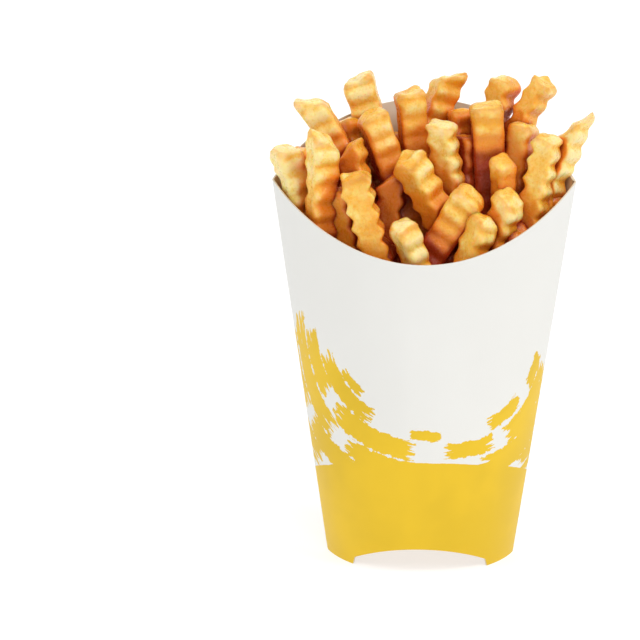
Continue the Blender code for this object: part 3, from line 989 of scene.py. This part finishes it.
def crust_material():
    """Fried potato: pale faces, golden crests, browned edges, a thin oily film, and painted light and shade.
    """
    if "fry_crust" in bpy.data.materials:
        return bpy.data.materials["fry_crust"]
    settings = bpy.context.scene.fry_settings
    material, tree, shader = new_material("fry_crust")
    place = object_place(tree)
    edge, rim, crest = separate(tree, attribute_node(tree, "crust").outputs["Vector"])
    tone = attribute_node(tree, "tone").outputs["Fac"]
    stored = attribute_node(tree, "open").outputs["Fac"]
    patchy = noise_node(tree, place, 130.0, 3.0, 0.6)
    mottle = noise_node(tree, place, 420.0, 2.0, 0.6)
    grain = noise_node(tree, place, 900.0, 4.0, 0.65)
    speck = noise_node(tree, place, 1500.0, 1.0)
    # Painted shade: how open a point is to the light, with a little of its fry's tone, sets how shaded its
    # crust is painted.
    openness = weighted(tree, 0.0, (stored, 1.0), (tone, 0.18))

    # Painted light and highlights along with the fries' own unevenness: open points and the crests of the
    # ridges are painted paler and creamier, and the noise adds real patches.
    by_place = (openness, 0.6), (tone, 0.3), (crest, 0.18)
    by_chance = (patchy, 1.0), (mottle, 0.45), (grain, 0.35)
    paleness_and_light = weighted(tree, -0.91, *by_place, *by_chance)
    pale_and_lit_share = span_node(tree, paleness_and_light, 0.30, 0.78)
    colour = mix_node(tree, pale_and_lit_share, settings.golden, settings.pale)
    cream_and_highlight_share = span_node(tree, paleness_and_light, 0.60, 0.92, 0.0, 0.9)
    colour = mix_node(tree, cream_and_highlight_share, colour, settings.cream)

    by_place = (edge, 0.28), (rim, 0.85), (tone, -0.25)
    by_chance = (patchy, -0.9), (grain, 0.5)
    brown = weighted(tree, 0.50, *by_place, *by_chance)
    brown_share = span_node(tree, brown, 0.35, 1.15, 0.0, 0.8)
    colour = mix_node(tree, brown_share, colour, settings.browned)
    dots = span_node(tree, speck, 0.66, 0.74, 0.0, 0.3)
    colour = mix_node(tree, dots, colour, settings.browned)

    # Painted shade: between the fries the crust is painted redder and darker the less open it is, as
    # light that has been through other fries is. Painted light: at the back of the heap it is painted
    # lighter, as more light comes off the board and the backdrop there.
    painted_back_light = span_node(tree, separate(tree, place)[1], 4.0 * MM, 22.0 * MM, 0.0, 0.13)
    openness = math_node(tree, "ADD", openness, painted_back_light)
    shaded_share = span_node(tree, openness, 0.92, 0.56, 0.0, 0.95)
    colour = mix_node(tree, shaded_share, colour, settings.shaded)
    deep_shade_share = span_node(tree, openness, 0.60, 0.24, 0.0, 0.97)
    colour = mix_node(tree, deep_shade_share, colour, settings.deep)
    tree.links.new(colour, shader.inputs["Base Color"])

    rough = span_node(tree, grain, 0.3, 0.7, 0.22, 0.38)
    tree.links.new(rough, shader.inputs["Roughness"])
    shader.inputs["Specular IOR Level"].default_value = 0.4
    shader.inputs["Coat Weight"].default_value = 0.1
    shader.inputs["Coat Roughness"].default_value = 0.2
    shader.inputs["Subsurface Weight"].default_value = 0.7
    shader.inputs["Subsurface Radius"].default_value = (1.0, 0.4, 0.1)
    shader.inputs["Subsurface Scale"].default_value = 2.4 * MM
    blisters = noise_node(tree, place, 420.0, 3.0, 0.55)
    normal = bump_node(tree, blisters, 0.36 * MM)
    normal = bump_node(tree, grain, 0.22 * MM, normal=normal)
    tree.links.new(normal, shader.inputs["Normal"])
    return material


def new_group(name, inputs, outputs):
    """An empty node group with these sockets, each with its kind, and its two ends."""
    tree = bpy.data.node_groups.new(name, "ShaderNodeTree")
    for way, sockets in (("INPUT", inputs), ("OUTPUT", outputs)):
        for socket, kind in sockets.items():
            tree.interface.new_socket(socket, in_out=way, socket_type="NodeSocket" + kind)
    return tree, tree.nodes.new("NodeGroupInput").outputs, tree.nodes.new("NodeGroupOutput").inputs


def place_group(tree, group):
    """The sockets of a node group placed in a material: what goes in, and what comes out."""
    node = tree.nodes.new("ShaderNodeGroup")
    node.node_tree = group
    return node.inputs, node.outputs


def arc_group():
    """A dry brush stroke along an arc, from the point's radius and angle round the arc's centre."""
    if "dry_arc" in bpy.data.node_groups:
        return bpy.data.node_groups["dry_arc"]
    sizes = ("Radius", "Angle", "Arc Radius", "Half Width", "Middle", "Half Angle", "Ragged", "Streak")
    tree, inputs, outputs = new_group("dry_arc", dict.fromkeys(sizes, "Float"), {"Mask": "Float"})
    away = math_node(tree, "SUBTRACT", inputs["Radius"], inputs["Arc Radius"])
    away = math_node(tree, "SUBTRACT", math_node(tree, "ABSOLUTE", away), inputs["Half Width"])
    on = math_node(tree, "SUBTRACT", inputs["Angle"], inputs["Middle"])
    past = math_node(tree, "SUBTRACT", math_node(tree, "ABSOLUTE", on), inputs["Half Angle"])
    past = math_node(tree, "MULTIPLY", past, inputs["Arc Radius"])
    out = math_node(tree, "SMOOTH_MAX", away, past, 2.0 * MM)
    out = math_node(tree, "MULTIPLY_ADD", inputs["Ragged"], 3.4 * MM, out)
    body = span_node(tree, out, 0.1 * MM, -0.05 * MM)

    # The brush runs dry towards both ends of the stroke
    share = math_node(tree, "DIVIDE", math_node(tree, "ABSOLUTE", on), inputs["Half Angle"])
    dry = math_node(tree, "MULTIPLY_ADD", math_node(tree, "POWER", share, 3.0), 0.30, 0.26)
    streaks = span_node(tree, math_node(tree, "SUBTRACT", inputs["Streak"], dry), -0.01, 0.02)
    tree.links.new(math_node(tree, "MULTIPLY", body, streaks), outputs["Mask"])
    return tree


# The brush arcs round the bare place. For each, its radius and width, mm, and where it starts and
# ends, degrees from straight down to the right.
ARC_CENTRE = (5.0 * MM, 84.0 * MM)
BRUSH_ARCS = (
    (38.5, 3.0, -60, -42),
    (43.0, 5.5, -74, -30),
    (43.5, 3.5, -12, 3),
    (43.0, 4.5, 26, 50),
    (44.0, 4.5, 58, 76),
    (49.0, 6.5, -86, -56),
    (49.5, 7.0, -50, -8),
    (49.0, 5.5, 3, 27),
    (50.0, 7.0, 32, 74),
    (56.0, 7.0, -93, -42),
    (56.5, 6.0, -36, -3),
    (57.0, 7.5, 14, 70),
    (63.5, 7.0, -90, -60),
    (63.0, 7.0, -56, -26),
    (64.0, 7.0, 34, 74),
    (70.0, 7.0, -80, -42),
    (70.5, 6.5, 42, 76),
)


def print_mask(tree):
    """Where the yellow ink lies: the solid band, and broken brush arcs that rise from it."""
    sheet = attribute_node(tree, "sheet").outputs["Vector"]
    x, y, side = separate(tree, sheet)
    edge_noise = noise_node(tree, sheet, 330.0, 5.0, 0.62)
    band_top = math_node(tree, "MULTIPLY_ADD", edge_noise, 0.8 * MM, BAND_HEIGHT - 0.4 * MM)
    mask = span_node(tree, math_node(tree, "SUBTRACT", band_top, y), -0.05 * MM, 0.1 * MM)

    right = math_node(tree, "MULTIPLY", x, math_node(tree, "MULTIPLY", side, -1.0))
    right = math_node(tree, "SUBTRACT", right, ARC_CENTRE[0])
    down = math_node(tree, "SUBTRACT", ARC_CENTRE[1], y)
    angle = math_node(tree, "ARCTAN2", right, down)
    radius = math_node(tree, "MULTIPLY", right, right)
    radius = math_node(tree, "SQRT", math_node(tree, "MULTIPLY_ADD", down, down, radius))
    round_arc = tree.nodes.new("ShaderNodeCombineXYZ")
    tree.links.new(math_node(tree, "MULTIPLY", angle, 6.0 * MM), round_arc.inputs[0])
    tree.links.new(radius, round_arc.inputs[1])
    tree.links.new(math_node(tree, "MULTIPLY", side, 0.1), round_arc.inputs[2])
    streak = noise_node(tree, round_arc.outputs[0], 900.0, 3.0, 0.6)
    ragged = math_node(tree, "SUBTRACT", edge_noise, 0.5)
    for arc_radius, width, start, end in BRUSH_ARCS:
        inputs, outputs = place_group(tree, arc_group())
        for name, socket in (("Radius", radius), ("Angle", angle), ("Ragged", ragged), ("Streak", streak)):
            tree.links.new(socket, inputs[name])
        inputs["Arc Radius"].default_value = arc_radius * MM
        inputs["Half Width"].default_value = width / 2 * MM
        inputs["Middle"].default_value = math.radians((start + end) / 2)
        inputs["Half Angle"].default_value = math.radians((end - start) / 2)
        mask = math_node(tree, "MAXIMUM", mask, outputs["Mask"])

    # The ink wears off along the side creases
    crease = math_node(tree, "MULTIPLY_ADD", y, CREASE_SPREAD, CREASE_START)
    inward = math_node(tree, "SUBTRACT", crease, math_node(tree, "ABSOLUTE", x))
    worn = span_node(tree, math_node(tree, "MULTIPLY_ADD", ragged, 1.6 * MM, inward), 0.15 * MM, 0.4 * MM)
    return math_node(tree, "MULTIPLY", mask, worn)


def fibre_group():
    """Paperboard's fibres: how light each one is, and the faint relief that they make."""
    if "board_fibre" in bpy.data.node_groups:
        return bpy.data.node_groups["board_fibre"]
    inputs = {"Place": "Vector", "Depth": "Float"}
    tree, inputs, outputs = new_group("board_fibre", inputs, {"Fibre": "Float", "Normal": "Vector"})
    fibre = noise_node(tree, inputs["Place"], 2600.0, 3.0, 0.6)
    tree.links.new(fibre, outputs["Fibre"])
    tree.links.new(bump_node(tree, fibre, inputs["Depth"]), outputs["Normal"])
    return tree


def board_fibre(tree, shader, place, depth):
    """Gives the board its fibres, this deep, and says how light each one is."""
    inputs, outputs = place_group(tree, fibre_group())
    tree.links.new(place, inputs["Place"])
    inputs["Depth"].default_value = depth
    tree.links.new(outputs["Normal"], shader.inputs["Normal"])
    return outputs["Fibre"]


def printed_material():
    """The outside of the board: coated white, with the yellow print."""
    settings = bpy.context.scene.carton_settings
    material, tree, shader = new_material("printed_board")
    place = object_place(tree)
    mask = print_mask(tree)
    cloud = noise_node(tree, place, 30.0, 3.0)
    fibre = board_fibre(tree, shader, place, 0.02 * MM)
    paper = mix_node(tree, span_node(tree, cloud, 0.3, 0.7, 0.0, 0.05), settings.paper, (0.6, 0.58, 0.52))
    deep_ink = tuple(0.9 * part for part in settings.ink)
    ink = mix_node(tree, span_node(tree, cloud, 0.35, 0.65), settings.ink, deep_ink)
    colour = mix_node(tree, mask, paper, ink)
    tree.links.new(colour, shader.inputs["Base Color"])
    rough = math_node(tree, "MULTIPLY_ADD", fibre, 0.12, 0.42)
    rough = math_node(tree, "MULTIPLY_ADD", mask, -0.06, rough)
    tree.links.new(rough, shader.inputs["Roughness"])
    shader.inputs["Specular IOR Level"].default_value = 0.25
    return material


def inside_material():
    """The uncoated inside of the board, browner near the fries with an oily stain and painted colour bleed.
    """
    settings = bpy.context.scene.carton_settings
    material, tree, shader = new_material("board_inside")
    place = object_place(tree)
    fibre = board_fibre(tree, shader, place, 0.04 * MM)
    height = separate(tree, place)[2]
    # Browner below a ragged line: partly an oily stain, partly painted colour bleed from the fries.
    uneven_reach = noise_node(tree, place, 60.0, 3.0, 0.6)
    level = math_node(tree, "MULTIPLY_ADD", uneven_reach, 26 * MM, height)
    oil_and_painted_bleed = span_node(tree, level, 172 * MM, 150 * MM, 0.0, 0.75)
    colour = mix_node(tree, oil_and_painted_bleed, settings.inside, (0.62, 0.42, 0.20))
    tree.links.new(colour, shader.inputs["Base Color"])
    tree.links.new(span_node(tree, fibre, 0.3, 0.7, 0.55, 0.7), shader.inputs["Roughness"])
    shader.inputs["Specular IOR Level"].default_value = 0.3
    return material


def cut_material():
    """The cut edge of the board, where the grey-cream core shows."""
    material, tree, shader = new_material("board_cut")
    place = object_place(tree)
    fibre = board_fibre(tree, shader, place, 0.05 * MM)
    colour = mix_node(tree, span_node(tree, fibre, 0.3, 0.7), (0.78, 0.70, 0.56), (0.66, 0.56, 0.42))
    tree.links.new(colour, shader.inputs["Base Color"])
    shader.inputs["Roughness"].default_value = 0.75
    return material


def stage_material(colour, glow):
    """The plain pale floor, lit from below like a photographer's light table."""
    material, _, shader = new_material("pale_floor")
    shader.inputs["Base Color"].default_value = (*colour, 1.0)
    shader.inputs["Roughness"].default_value = 0.9
    shader.inputs["Specular IOR Level"].default_value = 0.1
    shader.inputs["Emission Color"].default_value = (1.0, 1.0, 1.0, 1.0)
    shader.inputs["Emission Strength"].default_value = glow
    return material


# Operators


class FRYCARTON_OT_carton(bpy.types.Operator):
    """Folds the printed paperboard carton."""

    bl_idname = "fry_carton.carton"
    bl_label = "Fold Carton"

    def execute(self, context):
        materials = [printed_material(), inside_material(), cut_material()]
        carton = carton_mesh(materials, context.scene.carton_settings.waviness)
        fit_to_body(carton, "carton")
        return {"FINISHED"}


class FRYCARTON_OT_front_fries(bpy.types.Operator):
    """Makes the fries of the front rows."""

    bl_idname = "fry_carton.front_fries"
    bl_label = "Front Fries"

    def execute(self, context):
        fries = fries_object("front_fries", FRONT_FRIES, context.scene.fry_settings, 0)
        fit_to_body(fries, "fries")
        return {"FINISHED"}


class FRYCARTON_OT_back_fries(bpy.types.Operator):
    """Makes the fries of the back rows."""

    bl_idname = "fry_carton.back_fries"
    bl_label = "Back Fries"

    def execute(self, context):
        fries = fries_object("back_fries", BACK_FRIES, context.scene.fry_settings, 20)
        fit_to_body(fries, "fries")
        return {"FINISHED"}


class FRYCARTON_OT_low_fries(bpy.types.Operator):
    """Makes the short fries that show between the others and from above."""

    bl_idname = "fry_carton.low_fries"
    bl_label = "Low Fries"

    def execute(self, context):
        fries = fries_object("low_fries", LOW_FRIES, context.scene.fry_settings, 40)
        fit_to_body(fries, "fries")
        return {"FINISHED"}


class FRYCARTON_OT_openness(bpy.types.Operator):
    """Works out how open the fries are to the light, for the shade painted into their colour."""

    bl_idname = "fry_carton.openness"
    bl_label = "Openness"

    def execute(self, context):
        names = ("front_fries", "back_fries", "low_fries", "packed_fries")
        store_openness([bpy.data.objects[name] for name in names], bpy.data.objects["paper_carton"])
        return {"FINISHED"}


class FRYCARTON_OT_packed_fries(bpy.types.Operator):
    """Makes the core that stands for the hidden fries."""

    bl_idname = "fry_carton.packed_fries"
    bl_label = "Packed Fries"

    def execute(self, context):
        fit_to_body(core_object(), "fries")
        return {"FINISHED"}


def add_sun(name, azimuth, elevation, width, strength, colour):
    """An even light from this many degrees right of the front and above the horizon."""
    data = bpy.data.lights.new(name, "SUN")
    data.energy = strength
    data.angle = math.radians(width)
    data.color = colour
    light = bpy.data.objects.new(name, data)
    turn, rise = math.radians(azimuth), math.radians(elevation)
    source = Vector((math.sin(turn) * math.cos(rise), -math.cos(turn) * math.cos(rise), math.sin(rise)))
    light.rotation_euler = (-source).to_track_quat("-Z", "Y").to_euler()
    bpy.context.scene.collection.objects.link(light)


def add_sky():
    """An even white sky."""
    world = bpy.data.worlds.new("soft_sky")
    world.use_nodes = True
    sky = world.node_tree.nodes["Background"]
    sky.inputs["Color"].default_value = (1.0, 1.0, 1.0, 1.0)
    sky.inputs["Strength"].default_value = SKY_STRENGTH
    bpy.context.scene.world = world


def add_camera(settings, target):
    """The photograph's view: level, from a little above, with the carton right of the middle."""
    data = bpy.data.cameras.new("camera")
    data.lens = settings.lens
    data.sensor_width = 36.0
    camera = bpy.data.objects.new("camera", data)
    bpy.context.scene.collection.objects.link(camera)
    back = Vector((0, -math.cos(settings.elevation), math.sin(settings.elevation)))
    camera.location = target + back * settings.distance
    yaw = math.atan(settings.off_centre * data.sensor_width / data.lens)
    roll = math.atan(math.tan(yaw) * math.tan(settings.elevation))
    turn = Matrix.Rotation(yaw, 4, "Y") @ Matrix.Rotation(roll, 4, "Z")
    aim = (-back).to_track_quat("-Z", "Y").to_matrix().to_4x4()
    camera.rotation_euler = (aim @ turn).to_euler()
    bpy.context.scene.camera = camera


def add_floor(colour, glow):
    """A wide floor that curves up into a backdrop far behind."""
    bend = [
        (BEND_START + BEND_RADIUS * math.sin(angle), BEND_RADIUS * (1 - math.cos(angle)))
        for angle in np.linspace(0.1, math.pi / 2, 12)
    ]
    top = BEND_START + BEND_RADIUS, BACKDROP_TOP
    profile = [(FLOOR_NEAR, 0.0), (BEND_START, 0.0), *bend, top]
    points = [(x, y, z) for y, z in profile for x in (-STAGE_HALF_WIDTH, STAGE_HALF_WIDTH)]
    faces = [(2 * n, 2 * n + 1, 2 * n + 3, 2 * n + 2) for n in range(len(profile) - 1)]
    mesh = bpy.data.meshes.new("floor")
    mesh.from_pydata(points, [], faces)
    mesh.shade_smooth()
    mesh.materials.append(stage_material(colour, glow))
    floor = bpy.data.objects.new("floor", mesh)
    bpy.context.scene.collection.objects.link(floor)


class FRYCARTON_OT_stage(bpy.types.Operator):
    """Sets the camera, the lights, the pale floor and the backdrop."""

    bl_idname = "fry_carton.stage"
    bl_label = "Stage"

    def execute(self, context):
        settings = context.scene.stage_settings
        target = AXIS + Vector((0, 0, settings.target_height))
        add_camera(settings, target)
        add_floor(settings.floor, settings.glow)
        for name, sun in SUNS.items():
            add_sun(name, *sun)
        add_sky()
        context.scene.view_settings.view_transform = "Standard"
        return {"FINISHED"}


OPERATORS = (
    FRYCARTON_OT_carton,
    FRYCARTON_OT_front_fries,
    FRYCARTON_OT_back_fries,
    FRYCARTON_OT_low_fries,
    FRYCARTON_OT_packed_fries,
    FRYCARTON_OT_openness,
    FRYCARTON_OT_stage,
)


class FRYCARTON_PT_panel(bpy.types.Panel):
    """Lists the pieces in the order in which they are made."""

    bl_idname = "FRYCARTON_PT_panel"
    bl_label = "Fry Carton"
    bl_space_type = "VIEW_3D"
    bl_region_type = "UI"
    bl_category = "Fry Carton"

    def draw(self, context):
        for operator in OPERATORS:
            self.layout.operator(operator.bl_idname)


SETTINGS = {
    "carton_settings": CartonSettings,
    "fry_settings": FrySettings,
    "stage_settings": StageSettings,
}


def register():
    """Registers the settings, the operators and the panel."""
    for name, group in SETTINGS.items():
        bpy.utils.register_class(group)
        setattr(bpy.types.Scene, name, PointerProperty(type=group))
    for made in (*OPERATORS, FRYCARTON_PT_panel):
        bpy.utils.register_class(made)


def unregister():
    """Takes everything back out, in the opposite order."""
    for made in reversed((*OPERATORS, FRYCARTON_PT_panel)):
        bpy.utils.unregister_class(made)
    for name, group in reversed(SETTINGS.items()):
        delattr(bpy.types.Scene, name)
        bpy.utils.unregister_class(group)


def main():
    """Makes the fries in their carton and the stage."""
    register()
    bpy.ops.fry_carton.carton()
    bpy.ops.fry_carton.front_fries()
    bpy.ops.fry_carton.back_fries()
    bpy.ops.fry_carton.low_fries()
    bpy.ops.fry_carton.packed_fries()
    bpy.ops.fry_carton.openness()
    bpy.ops.fry_carton.stage()


if __name__ == "__main__":
    main()
